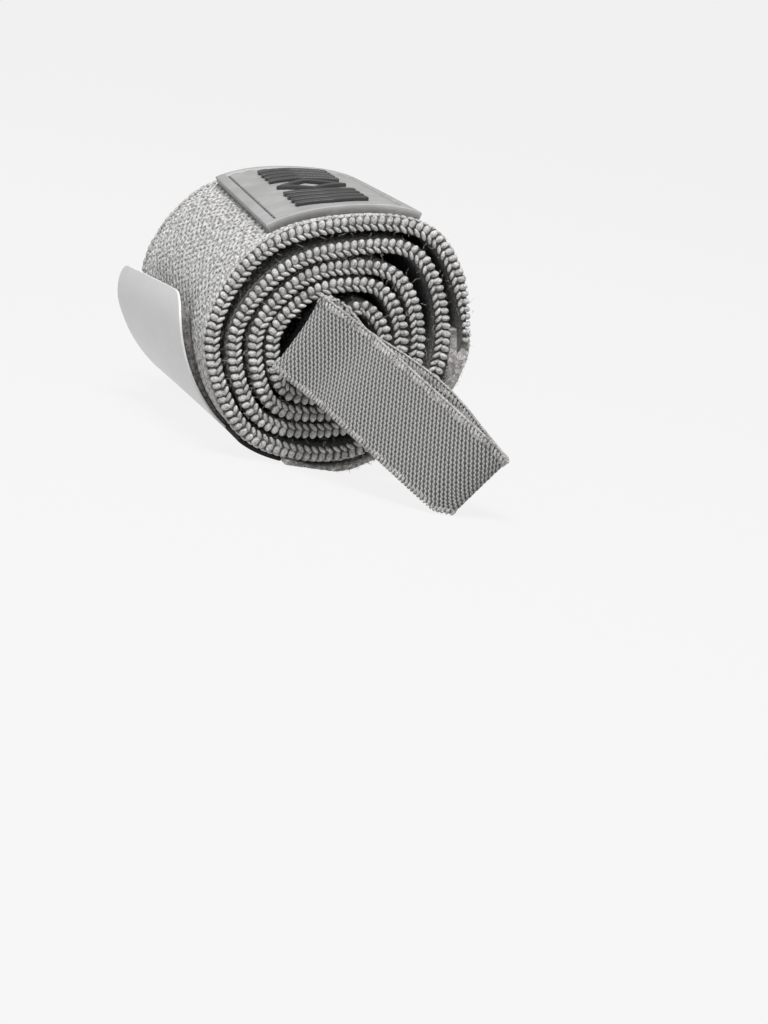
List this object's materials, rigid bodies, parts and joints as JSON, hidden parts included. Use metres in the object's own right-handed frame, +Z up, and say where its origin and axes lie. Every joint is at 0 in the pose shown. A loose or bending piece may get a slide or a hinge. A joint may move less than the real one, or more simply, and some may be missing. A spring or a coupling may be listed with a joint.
{
  "type": "wrist wrap",
  "caption": "Elastic knitted wrist wrap rolled up from its thumb loop, with a moulded patch and a hook tab peeling off the roll.",
  "frame": {"origin": "on the flattened bottom of the roll, under its axis, half way along it", "axes": "+Y along the roll's axis, away from the thumb loop; +Z up; +X to the right seen from the thumb loop"},
  "size_m": [0.0602, 0.1128, 0.0507],
  "materials": {
    "knit": "light grey heathered elastic knit",
    "loop_pile": "fuzzy grey loop pile",
    "hook_plastic": "smooth pale grey hook tape",
    "black_tape": "black woven tape",
    "patch_rubber": "satin grey moulded rubber",
    "motif_rubber": "satin dark grey moulded rubber",
    "ribbon": "grey twill-woven elastic ribbon"
  },
  "bodies": {
    "root": {"band": "knit", "end_panel": "loop_pile", "hook_tab": "hook_plastic", "tab_label": "black_tape", "patch": "patch_rubber", "patch_bar_1": "motif_rubber", "patch_bar_2": "motif_rubber", "patch_bar_3": "motif_rubber", "patch_bar_4": "motif_rubber", "patch_bar_5": "motif_rubber", "patch_bar_6": "motif_rubber", "patch_bar_7": "motif_rubber", "patch_bar_8": "motif_rubber", "patch_lozenge": "motif_rubber", "thumb_loop": "ribbon"}
  },
  "joints": []
}
